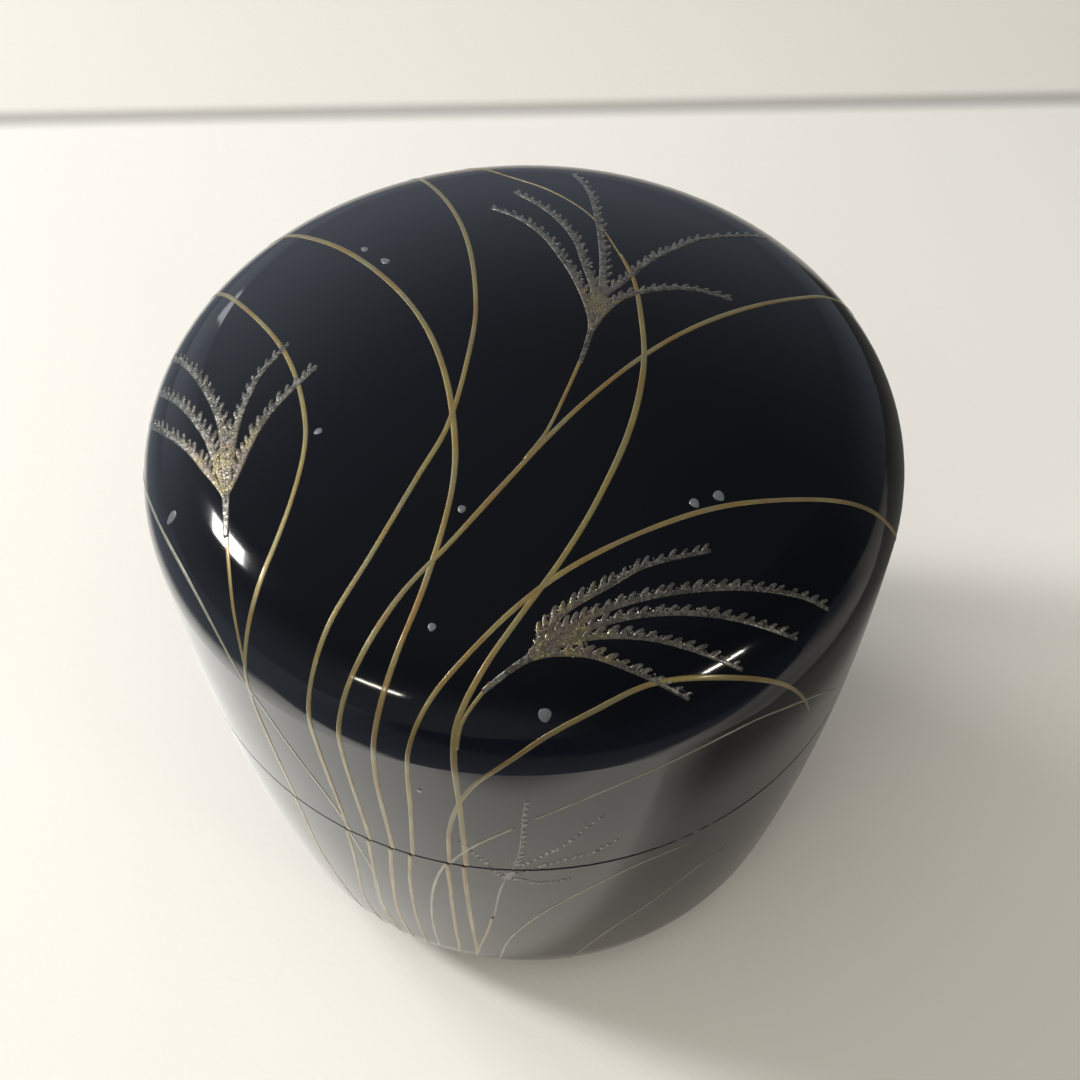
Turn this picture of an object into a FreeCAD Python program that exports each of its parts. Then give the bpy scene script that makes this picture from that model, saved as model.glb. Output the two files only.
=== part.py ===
"""Jujube-shaped tea caddy of turned wood under black lacquer.

Two turned pieces: a body with a standing rim, and a domed lid that slips over the rim. One outline
runs unbroken over both, on four arcs that meet tangentially: a shallow dome, a small shoulder, a long
tapering side and a belly that turns in under the foot. Wood and coats are offsets of those arcs.

Frame: +Z up along the turning axis, origin at the centre of the foot, millimetres.
"""

import FreeCAD, Part
import Sketcher
import enum
import math
import os

# Driving sizes in millimetres, and one angle in degrees: alias, value, meaning.
SIZES = [
    ("max_dia", "66", "widest girth of the finished outline"),
    ("seam_height", "36.2", "table to the line where the lid meets the body"),
    ("belt_rise", "18.8", "seam to the widest girth"),
    ("crown_rise", "11", "widest girth to the crown of the lid"),
    ("dome_radius", "92", "arc of the lid's shallow dome"),
    ("shoulder_radius", "8.4", "arc that turns the dome into the side"),
    ("side_radius", "280", "long arc of the side"),
    ("belly_radius", "15", "arc that turns the side in under the foot"),
    ("foot_angle", "53", "how far the belly has turned in where it meets the table"),
    ("lacquer", "0.35", "thickness of every coat of lacquer"),
    ("top_thickness", "3.2", "lid wall through the dome, coats included"),
    ("skirt_thickness", "1.9", "lid wall at its lower edge, coats included"),
    ("ceiling_corner", "5", "rounding inside the lid, between bore and ceiling"),
    ("rim_gap", "0.12", "slip fit between standing rim and lid, on the radius"),
    ("rim_height", "9", "standing rim above the seam"),
    ("rim_thickness", "1.8", "standing rim at its root, coats included"),
    ("floor_height", "3.8", "finished floor of the tea well above the table"),
    ("well_corner", "9", "rounding between floor and wall of the tea well"),
    ("foot_band", "1.5", "side coat turned in under the foot edge"),
    ("ring_width", "3.5", "flat ring of the underside, inside that band"),
    ("hollow_depth", "0.8", "shallow hollow inside the ring"),
    ("seam_round", "0.2", "softened edges at the seam"),
    ("rim_round", "0.3", "softened edges on top of the standing rim"),
]

# Lengths that follow from the driving sizes: name, formula, meaning.
FORMULAS = [
    ("belt_height", "sizes.seam_height + sizes.belt_rise", "height of the widest girth"),
    ("total_height", "derived.belt_height + sizes.crown_rise", "height of the crown"),
    ("side_centre", "sizes.side_radius - sizes.max_dia / 2", "centre of the side arc, beyond the axis"),
    (
        "seam_radius",
        "sqrt(sizes.side_radius ^ 2 - sizes.belt_rise ^ 2) - derived.side_centre",
        "finished outline at the seam",
    ),
    (
        "ledge_radius",
        "sqrt((sizes.side_radius - sizes.lacquer) ^ 2 - (sizes.belt_rise + sizes.lacquer) ^ 2)"
        " - derived.side_centre",
        "outer edge of the wooden ledge round the rim",
    ),
    ("bore_radius", "derived.seam_radius - sizes.skirt_thickness", "finished bore of the lid"),
    ("rim_radius", "derived.bore_radius - sizes.rim_gap", "finished outside of the standing rim"),
    (
        "wall",
        "sizes.skirt_thickness + sizes.rim_gap + sizes.rim_thickness",
        "body wall, so that the well runs up into the rim with no step",
    ),
    ("rim_top", "sizes.seam_height + sizes.rim_height", "height of the standing rim's top"),
    (
        "rim_top_width",
        "derived.rim_radius + derived.side_centre"
        " - sqrt((sizes.side_radius - derived.wall) ^ 2 - (sizes.belt_rise - sizes.rim_height) ^ 2)",
        "width of the standing rim at its top",
    ),
    ("belly_height", "sizes.belly_radius * sin(sizes.foot_angle * 1 deg)", "centre of the belly arc"),
    (
        "belly_centre",
        "sqrt((sizes.side_radius - sizes.belly_radius) ^ 2"
        " - (derived.belt_height - derived.belly_height) ^ 2) - derived.side_centre",
        "distance of that centre from the axis",
    ),
    (
        "foot_radius",
        "derived.belly_centre + sizes.belly_radius * cos(sizes.foot_angle * 1 deg)",
        "edge of the foot on the table",
    ),
    ("base_radius", "derived.foot_radius - sizes.foot_band", "coat of the underside"),
    ("hollow_radius", "derived.base_radius - sizes.ring_width", "hollow in the underside"),
    ("seam_edge", "min(sizes.seam_round; 0.75 * sizes.lacquer)", "seam rounding the coat has room for"),
    (
        "rim_edge",
        "min(sizes.rim_round; 0.75 * sizes.lacquer; 0.35 * derived.rim_top_width)",
        "rim rounding the coat has room for",
    ),
]

NORMAL = FreeCAD.Vector(0, 0, 1)
TOLERANCE = 1e-6


class Point(enum.IntEnum):
    """Which point of a sketch edge a constraint means."""

    START = 1
    FINISH = 2
    CENTRE = 3


class Axis(enum.IntEnum):
    """The sketch's own axes: the table and the turning axis."""

    TABLE = -1
    TURNING = -2


ORIGIN = (Axis.TABLE, Point.START)


def make_sheet(doc):
    """Spreadsheet with one aliased cell for each driving size."""
    sheet = doc.addObject("Spreadsheet::Sheet", "sizes")
    for row, (alias, value, meaning) in enumerate(SIZES, start=1):
        sheet.set(f"A{row}", meaning)
        sheet.set(f"B{row}", value)
        sheet.setAlias(f"B{row}", alias)
    doc.recompute()
    return sheet


def make_formulas(doc):
    """Variables that follow the sheet, for lengths that several pieces share."""
    derived = doc.addObject("App::VarSet", "derived")
    for name, formula, meaning in FORMULAS:
        derived.addProperty("App::PropertyFloat", name, "Derived", meaning)
        derived.setExpression(name, formula)
        doc.recompute()
    return derived


def flat(x, z):
    """Point of a section: distance from the axis and height."""
    return FreeCAD.Vector(x, z, 0)


def beyond(start, through, length):
    """Point at a length from start, on the line towards another point."""
    return start + (through - start).normalize() * length


class Section:
    """Half-section of one turned piece: arcs and lines in the XZ plane, tied to the sheet.

    An end is a pair, the number of an edge in the sketch and which of its end points is meant.
    """

    def __init__(self, doc, label):
        self.sizes = doc.getObject("sizes")
        self.derived = doc.getObject("derived")
        self.body = doc.addObject("PartDesign::Body", label)
        self.body.Label = label
        self.sketch = self.body.newObject("Sketcher::SketchObject", f"{label}_section")
        plane = next(item for item in self.body.Origin.OriginFeatures if item.Role == "XZ_Plane")
        self.sketch.AttachmentSupport = [(plane, "")]
        self.sketch.MapMode = "FlatFace"
        self.dome_centre = flat(0, self.derived.total_height - self.sizes.dome_radius)
        self.side_centre = flat(-self.derived.side_centre, self.derived.belt_height)

    def tie(self, *constraint):
        """Add a geometric constraint."""
        self.sketch.addConstraint(Sketcher.Constraint(*constraint))

    def follow(self, formula, *constraint):
        """Add a dimension and let it follow a formula."""
        index = self.sketch.addConstraint(Sketcher.Constraint(*constraint))
        self.sketch.setExpression(f"Constraints[{index}]", formula)

    def height(self, end, formula):
        """Dimension an end's height above the table."""
        self.follow(formula, "DistanceY", *ORIGIN, *end, self.place(end).y)

    def reach(self, end, formula):
        """Dimension an end's distance from the axis."""
        self.follow(formula, "DistanceX", *ORIGIN, *end, self.place(end).x)

    def place(self, end):
        """Where an end lies now."""
        return self.sketch.getPoint(*end)

    def arc(self, centre, first, last, radius_formula):
        """Arc drawn anticlockwise between two points; returns its two ends."""
        circle = Part.Circle(centre, NORMAL, (first - centre).Length)
        start, finish = circle.parameter(first), circle.parameter(last)
        if start > finish:
            start -= 2 * math.pi
        index = self.sketch.addGeometry(Part.ArcOfCircle(circle, start, finish))
        self.follow(radius_formula, "Radius", index, circle.Radius)
        return (index, Point.START), (index, Point.FINISH)

    def line(self, start, finish, direction=None):
        """Line between two ends, Horizontal, Vertical or along the axis."""
        index = self.sketch.addGeometry(Part.LineSegment(self.place(start), self.place(finish)))
        self.tie("Coincident", index, Point.START, *start)
        self.tie("Coincident", index, Point.FINISH, *finish)
        if direction:
            self.tie(direction, index)

    def level(self, start, radius):
        """Level line from an end to about a distance from the axis; returns its new end."""
        here = self.place(start)
        index = self.sketch.addGeometry(Part.LineSegment(here, flat(radius, here.y)))
        self.tie("Coincident", index, Point.START, *start)
        self.tie("Horizontal", index)
        return index, Point.FINISH

    def upright(self, start, height):
        """Upright line from an end to about a height; returns its new end."""
        here = self.place(start)
        index = self.sketch.addGeometry(Part.LineSegment(here, flat(here.x, height)))
        self.tie("Coincident", index, Point.START, *start)
        self.tie("Vertical", index)
        return index, Point.FINISH

    def spindle(self, low, high):
        """Line on the turning axis between two heights; returns its lower and upper end."""
        index = self.sketch.addGeometry(Part.LineSegment(flat(0, low), flat(0, high)))
        ends = (index, Point.START), (index, Point.FINISH)
        for end in ends:
            self.tie("PointOnObject", *end, Axis.TURNING)
        return ends

    def side(self, first, last, radius_formula):
        """Stretch of the long side arc, or of one that shares its centre."""
        ends = self.arc(self.side_centre, first, last, radius_formula)
        index = ends[0][0]
        self.follow("derived.side_centre", "DistanceX", index, Point.CENTRE, *ORIGIN, self.derived.side_centre)
        self.follow("derived.belt_height", "DistanceY", *ORIGIN, index, Point.CENTRE, self.derived.belt_height)
        return ends

    def shoulder_centre(self):
        """Centre of the arc that touches dome and side from within."""
        sizes = self.sizes
        dome_reach = sizes.dome_radius - sizes.shoulder_radius
        side_reach = sizes.side_radius - sizes.shoulder_radius
        gap = self.side_centre - self.dome_centre
        along = (dome_reach**2 - side_reach**2 + gap.Length**2) / (2 * gap.Length)
        across = math.sqrt(dome_reach**2 - along**2)
        forward = gap.normalize()
        return self.dome_centre + forward * along + flat(forward.y, -forward.x) * across

    def crown(self, depth, depth_formula, skirt_height):
        """Dome, shoulder and side of the lid at a depth under the finish; returns apex and skirt ends."""
        sizes, derived = self.sizes, self.derived
        shoulder = self.shoulder_centre()
        dome_end = beyond(self.dome_centre, shoulder, sizes.dome_radius - depth)
        side_end = beyond(self.side_centre, shoulder, sizes.side_radius - depth)
        apex = flat(0, derived.total_height - depth)
        skirt = self.side_point(sizes.side_radius - depth, skirt_height)
        dome = self.arc(self.dome_centre, dome_end, apex, f"sizes.dome_radius - {depth_formula}")
        turn = self.arc(shoulder, side_end, dome_end, f"sizes.shoulder_radius - {depth_formula}")
        side = self.side(skirt, side_end, f"sizes.side_radius - {depth_formula}")
        self.tie("PointOnObject", dome[0][0], Point.CENTRE, Axis.TURNING)
        self.tie("PointOnObject", *dome[1], Axis.TURNING)
        self.height(dome[1], f"derived.total_height - {depth_formula}")
        self.tie("Tangent", *dome[0], *turn[1])
        self.tie("Tangent", *turn[0], *side[1])
        return dome[1], side[0]

    def side_point(self, radius, height):
        """Point at a height on a circle about the side's centre."""
        drop = height - self.side_centre.y
        return flat(self.side_centre.x + math.sqrt(radius**2 - drop**2), height)

    def flank(self, depth, depth_formula, edge_height, foot_height):
        """Side and belly of the body at a depth under the finish; returns seam and foot ends."""
        sizes, derived = self.sizes, self.derived
        centre = flat(derived.belly_centre, derived.belly_height)
        belly_radius = sizes.belly_radius - depth
        joint = beyond(self.side_centre, centre, sizes.side_radius - depth)
        edge = self.side_point(sizes.side_radius - depth, edge_height)
        drop = foot_height - centre.y
        foot = flat(centre.x + math.sqrt(belly_radius**2 - drop**2), foot_height)
        side = self.side(joint, edge, f"sizes.side_radius - {depth_formula}")
        belly = self.arc(centre, foot, joint, f"sizes.belly_radius - {depth_formula}")
        self.tie("Tangent", *belly[1], *side[0])
        self.height((belly[0][0], Point.CENTRE), "derived.belly_height")
        return side[1], belly[0]

    def ceiling(self, depth, depth_formula, lip_height):
        """Ceiling and bore of the lid at a depth behind the finish; returns axis and lip ends."""
        sizes, derived = self.sizes, self.derived
        radius = sizes.dome_radius - sizes.top_thickness
        corner_x = derived.bore_radius - sizes.ceiling_corner
        corner_rise = math.sqrt((radius - sizes.ceiling_corner) ** 2 - corner_x**2)
        corner = self.dome_centre + flat(corner_x, corner_rise)
        arc_end = beyond(self.dome_centre, corner, radius + depth)
        bore_end = corner + flat(sizes.ceiling_corner + depth, 0)
        apex = self.dome_centre + flat(0, radius + depth)
        roof = self.arc(
            self.dome_centre, arc_end, apex, f"sizes.dome_radius - sizes.top_thickness + {depth_formula}"
        )
        turn = self.arc(corner, bore_end, arc_end, f"sizes.ceiling_corner + {depth_formula}")
        bore = self.sketch.addGeometry(Part.LineSegment(bore_end, flat(bore_end.x, lip_height)))
        self.tie("PointOnObject", roof[0][0], Point.CENTRE, Axis.TURNING)
        self.tie("PointOnObject", *roof[1], Axis.TURNING)
        self.height(roof[1], f"derived.total_height - sizes.top_thickness + {depth_formula}")
        self.tie("Tangent", *roof[0], *turn[1])
        lip = (bore, Point.FINISH)
        self.tie("Tangent", *turn[0], bore, Point.START)
        self.tie("Vertical", bore)
        self.reach(lip, f"derived.bore_radius + {depth_formula}")
        return roof[1], lip

    def well(self, depth, depth_formula, top_height):
        """Wall and floor of the tea well at a depth behind the finish; returns rim and axis ends."""
        sizes, derived = self.sizes, self.derived
        radius = sizes.side_radius - derived.wall
        corner = self.side_point(radius - sizes.well_corner, sizes.floor_height + sizes.well_corner)
        joint = beyond(self.side_centre, corner, radius + depth)
        floor_end = corner - flat(0, sizes.well_corner + depth)
        rim = self.side_point(radius + depth, top_height)
        wall = self.side(joint, rim, f"sizes.side_radius - derived.wall + {depth_formula}")
        turn = self.arc(corner, floor_end, joint, f"sizes.well_corner + {depth_formula}")
        floor = self.sketch.addGeometry(Part.LineSegment(floor_end, flat(0, floor_end.y)))
        self.tie("Tangent", *turn[1], *wall[0])
        middle = (floor, Point.FINISH)
        self.tie("Tangent", *turn[0], floor, Point.START)
        self.tie("Horizontal", floor)
        self.tie("PointOnObject", *middle, Axis.TURNING)
        self.height(middle, f"sizes.floor_height - {depth_formula}")
        return wall[1], middle

    def ease(self, end, radius_name, level_formula, outward, downward):
        """Small arc that eases the end of a side arc into a level face; returns its end on that face.

        outward and downward are 1 or -1: which way the centre of the small arc lies from the corner.
        """
        corner = self.place(end)
        radius = self.derived.getPropertyByName(radius_name)
        reach = (corner - self.side_centre).Length
        centre = self.side_point(reach + outward * radius, corner.y - downward * radius)
        touch = beyond(self.side_centre, centre, reach)
        tip = flat(centre.x, corner.y)
        tip_first = outward * downward > 0
        first, last = (tip, touch) if tip_first else (touch, tip)
        ends = self.arc(centre, first, last, f"derived.{radius_name}")
        tip_end, touch_end = ends if tip_first else reversed(ends)
        self.tie("Tangent", *touch_end, *end)
        self.tie("Vertical", tip_end[0], Point.CENTRE, *tip_end)
        self.height(tip_end, level_formula)
        return tip_end

    def turn(self):
        """Turn the section round the axis into a solid."""
        solid = self.body.newObject("PartDesign::Revolution", f"{self.body.Name}_turned")
        solid.Profile = self.sketch
        solid.ReferenceAxis = (self.sketch, ["V_Axis"])
        solid.Angle = 360
        self.body.Document.recompute()
        return solid

    def soften(self, solid, radius, height, radius_formula):
        """Round the circular edge at a distance from the axis and a height."""
        names = []
        for number, edge in enumerate(solid.Shape.Edges, start=1):
            if edge.Degenerated or not isinstance(edge.Curve, Part.Circle):
                continue
            found = (edge.Curve.Radius, edge.Curve.Center.z)
            if math.dist(found, (radius, height)) < TOLERANCE:
                names.append(f"Edge{number}")
        if len(names) != 1:
            raise RuntimeError(f"{self.body.Label}: {len(names)} edges to round, not one")
        fillet = self.body.newObject("PartDesign::Fillet", f"{self.body.Name}_softened")
        fillet.Base = (solid, names)
        fillet.setExpression("Radius", radius_formula)
        self.body.Document.recompute()


FINISH = (0, "0")


def coat(doc):
    """Depth of the wood under the finish, as a number and as a formula."""
    return doc.getObject("sizes").lacquer, "sizes.lacquer"


def lid_core(doc):
    """Wood of the lid: a bell with a thin skirt."""
    section = Section(doc, "lid_core")
    wood = coat(doc)
    edge = section.sizes.seam_height + wood[0]
    apex, skirt = section.crown(*wood, edge)
    roof, lip = section.ceiling(*wood, edge)
    section.height(skirt, "sizes.seam_height + sizes.lacquer")
    section.line(skirt, lip, "Horizontal")
    section.line(roof, apex)
    section.turn()


def lid_outer_lacquer(doc):
    """Coat over dome and side, turned in under the skirt as far as the bore."""
    section = Section(doc, "lid_outer_lacquer")
    sizes, derived = section.sizes, section.derived
    wood = coat(doc)
    wood_edge = sizes.seam_height + wood[0]
    apex, skirt = section.crown(*FINISH, sizes.seam_height)
    wood_apex, wood_skirt = section.crown(*wood, wood_edge)
    section.height(wood_skirt, "sizes.seam_height + sizes.lacquer")
    edge = section.ease(skirt, "seam_edge", "sizes.seam_height", outward=-1, downward=-1)
    lip = section.level(edge, derived.bore_radius)
    section.reach(lip, "derived.bore_radius")
    lip_top = section.upright(lip, wood_edge)
    section.line(lip_top, wood_skirt, "Horizontal")
    section.line(wood_apex, apex)
    solid = section.turn()
    section.soften(solid, derived.bore_radius, sizes.seam_height, "derived.seam_edge")


def lid_inner_lacquer(doc):
    """Coat on the lid's ceiling and bore."""
    section = Section(doc, "lid_inner_lacquer")
    wood = coat(doc)
    edge = section.sizes.seam_height + wood[0]
    roof, lip = section.ceiling(*FINISH, edge)
    wood_roof, wood_lip = section.ceiling(*wood, edge)
    section.height(lip, "sizes.seam_height + sizes.lacquer")
    section.line(lip, wood_lip, "Horizontal")
    section.line(roof, wood_roof)
    section.turn()


def body_core(doc):
    """Wood of the body: a cup with a standing rim, hollowed a little underneath."""
    section = Section(doc, "body_core")
    sizes, derived = section.sizes, section.derived
    wood = coat(doc)
    ledge_height = sizes.seam_height - wood[0]
    ledge, foot = section.flank(*wood, ledge_height, wood[0])
    rim, floor = section.well(*wood, derived.rim_top - wood[0])
    section.height(ledge, "sizes.seam_height - sizes.lacquer")
    section.height(foot, "sizes.lacquer")
    section.height(rim, "derived.rim_top - sizes.lacquer")
    rim_edge = section.level(rim, derived.rim_radius - wood[0])
    section.reach(rim_edge, "derived.rim_radius - sizes.lacquer")
    root = section.upright(rim_edge, ledge_height)
    section.line(root, ledge, "Horizontal")
    ring = section.level(foot, derived.hollow_radius + wood[0])
    section.reach(ring, "derived.hollow_radius + sizes.lacquer")
    hollow = section.upright(ring, sizes.hollow_depth + wood[0])
    section.height(hollow, "sizes.hollow_depth + sizes.lacquer")
    middle = section.level(hollow, 0)
    section.tie("PointOnObject", *middle, Axis.TURNING)
    section.line(middle, floor)
    section.turn()


def body_outer_lacquer(doc):
    """Coat over side and belly, turned in under the edge of the foot."""
    section = Section(doc, "body_outer_lacquer")
    sizes, derived = section.sizes, section.derived
    wood = coat(doc)
    corner, foot = section.flank(*FINISH, sizes.seam_height, 0)
    ledge, wood_foot = section.flank(*wood, sizes.seam_height - wood[0], wood[0])
    edge = section.ease(corner, "seam_edge", "sizes.seam_height", outward=-1, downward=1)
    section.tie("PointOnObject", *foot, Axis.TABLE)
    section.height(ledge, "sizes.seam_height - sizes.lacquer")
    section.height(wood_foot, "sizes.lacquer")
    top = section.upright(ledge, sizes.seam_height)
    section.line(top, edge, "Horizontal")
    band = section.level(foot, derived.base_radius)
    section.reach(band, "derived.base_radius")
    band_top = section.upright(band, wood[0])
    section.line(band_top, wood_foot, "Horizontal")
    section.turn()


def body_inner_lacquer(doc):
    """Coat in the tea well, over the standing rim and out across the ledge."""
    section = Section(doc, "body_inner_lacquer")
    sizes, derived = section.sizes, section.derived
    wood = coat(doc)
    rim, floor = section.well(*FINISH, derived.rim_top)
    wood_rim, wood_floor = section.well(*wood, derived.rim_top - wood[0])
    section.height(wood_rim, "derived.rim_top - sizes.lacquer")
    rim_inside = section.ease(rim, "rim_edge", "derived.rim_top", outward=1, downward=1)
    rim_edge = section.level(rim_inside, derived.rim_radius)
    section.reach(rim_edge, "derived.rim_radius")
    root = section.upright(rim_edge, sizes.seam_height)
    section.height(root, "sizes.seam_height")
    ledge = section.level(root, derived.ledge_radius)
    section.reach(ledge, "derived.ledge_radius")
    ledge_under = section.upright(ledge, sizes.seam_height - wood[0])
    section.height(ledge_under, "sizes.seam_height - sizes.lacquer")
    wood_root = section.level(ledge_under, derived.rim_radius - wood[0])
    section.reach(wood_root, "derived.rim_radius - sizes.lacquer")
    wood_edge = section.upright(wood_root, derived.rim_top - wood[0])
    section.line(wood_edge, wood_rim, "Horizontal")
    section.line(floor, wood_floor)
    solid = section.turn()
    section.soften(solid, derived.rim_radius, derived.rim_top, "derived.rim_edge")


def base_lacquer(doc):
    """Coat of the underside: the flat ring it stands on, and the hollow inside the ring."""
    section = Section(doc, "base_lacquer")
    sizes, derived = section.sizes, section.derived
    thickness = sizes.lacquer
    roof, wood_roof = section.spindle(sizes.hollow_depth, sizes.hollow_depth + thickness)
    section.height(roof, "sizes.hollow_depth")
    hollow = section.level(roof, derived.hollow_radius)
    section.reach(hollow, "derived.hollow_radius")
    ring = section.upright(hollow, 0)
    section.tie("PointOnObject", *ring, Axis.TABLE)
    edge = section.level(ring, derived.base_radius)
    section.reach(edge, "derived.base_radius")
    edge_top = section.upright(edge, thickness)
    section.height(edge_top, "sizes.lacquer")
    wood_ring = section.level(edge_top, derived.hollow_radius + thickness)
    section.reach(wood_ring, "derived.hollow_radius + sizes.lacquer")
    wood_hollow = section.upright(wood_ring, sizes.hollow_depth + thickness)
    section.height(wood_hollow, "sizes.hollow_depth + sizes.lacquer")
    section.line(wood_hollow, wood_roof, "Horizontal")
    section.turn()


PIECES = [
    lid_core,
    lid_outer_lacquer,
    lid_inner_lacquer,
    body_core,
    body_outer_lacquer,
    body_inner_lacquer,
    base_lacquer,
]


def check(doc):
    """Stop on any object that failed, and on a piece with no sound solid or a loose section."""
    for item in doc.Objects:
        if {"Invalid", "Error"} & set(item.State):
            raise RuntimeError(f"{item.Label} failed: {item.State}")
        if item.isDerivedFrom("Sketcher::SketchObject") and not item.FullyConstrained:
            raise RuntimeError(f"{item.Label} isn't fully constrained")
        if item.isDerivedFrom("PartDesign::Body"):
            if item.Shape.isNull() or not item.Shape.isValid() or len(item.Shape.Solids) != 1:
                raise RuntimeError(f"{item.Label} has no sound solid")


def export(doc):
    """Write each piece to its own file, named by its label."""
    os.makedirs("parts", exist_ok=True)
    for item in doc.Objects:
        if item.isDerivedFrom("PartDesign::Body"):
            item.Shape.exportStep(f"parts/{item.Label}.step")
            print(f"{item.Label}: {item.Shape.Volume:.2f} mm3")


def main():
    doc = FreeCAD.newDocument("tea_caddy")
    make_sheet(doc)
    make_formulas(doc)
    for piece in PIECES:
        piece(doc)
    doc.recompute()
    check(doc)
    export(doc)


main()
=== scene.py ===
"""Looks of a round lacquered tea caddy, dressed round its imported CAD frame.

The lid and the body keep their CAD coats, which get the lacquer finishes. On them lies the drawing: gold
blades and silver plumes of autumn grass with drops of dew, raised a few hundredths of a millimetre.

The drawing is laid out flat, as on the paper that it is transferred from, in millimetres from the crown:
x runs to the right and y to the back. A spot's distance from the crown is measured over the skin, so the
lid's side and the body follow outside the lid's top.
"""

import bisect
import math
import random
from typing import NamedTuple

import bmesh
import bpy
from bpy.props import FloatProperty, FloatVectorProperty, IntProperty, PointerProperty
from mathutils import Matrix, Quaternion, Vector
from mathutils.geometry import convex_hull_2d, interpolate_bezier


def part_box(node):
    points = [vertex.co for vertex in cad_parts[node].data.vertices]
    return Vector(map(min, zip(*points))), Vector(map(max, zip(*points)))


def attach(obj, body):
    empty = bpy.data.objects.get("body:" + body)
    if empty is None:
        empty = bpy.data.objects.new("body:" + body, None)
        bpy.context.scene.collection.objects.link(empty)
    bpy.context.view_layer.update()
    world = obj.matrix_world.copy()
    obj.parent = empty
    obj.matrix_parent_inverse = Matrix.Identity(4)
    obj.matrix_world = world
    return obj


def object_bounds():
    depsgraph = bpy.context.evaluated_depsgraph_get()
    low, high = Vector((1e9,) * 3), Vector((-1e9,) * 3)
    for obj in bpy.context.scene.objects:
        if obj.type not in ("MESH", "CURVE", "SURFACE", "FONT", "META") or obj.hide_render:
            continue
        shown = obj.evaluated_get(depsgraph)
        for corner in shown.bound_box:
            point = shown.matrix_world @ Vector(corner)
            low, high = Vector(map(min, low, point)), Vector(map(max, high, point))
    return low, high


bl_info = {
    "name": "Lacquered tea caddy",
    "version": (1, 0, 0),
    "blender": (4, 5, 0),
    "location": "View3D > Sidebar > Caddy",
    "description": "Lacquer, gold and silver drawing, and studio of a round tea caddy",
    "category": "Object",
}

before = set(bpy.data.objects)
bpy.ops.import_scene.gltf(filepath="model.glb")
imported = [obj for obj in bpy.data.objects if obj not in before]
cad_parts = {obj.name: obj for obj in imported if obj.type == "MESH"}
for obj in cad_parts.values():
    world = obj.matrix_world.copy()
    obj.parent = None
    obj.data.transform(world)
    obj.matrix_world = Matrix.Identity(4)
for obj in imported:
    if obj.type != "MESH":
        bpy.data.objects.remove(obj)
CAD_LOW, CAD_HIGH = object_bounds()
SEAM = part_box("lid_outer_lacquer")[0].z
MM = 0.001


class Blade(NamedTuple):
    """One gold line from its tip to its root: its width, the share of that at the tip, and its gold."""

    name: str
    width: float
    route: tuple
    tip: float = 0.3
    pale: bool = False


class Plume(NamedTuple):
    """One silver plume: its strength, the breadth of its spines, its stem up to the neck, its spikes with
    the side that their hairs stand on, and whether it is only thinly strewn, in a silver painted paler to
    make up for the shade on the caddy's front."""

    name: str
    strength: float
    breadth: float
    stem: tuple
    spikes: tuple
    faint_painted_light: bool = False


LEFT, RIGHT = 1, -1

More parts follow.
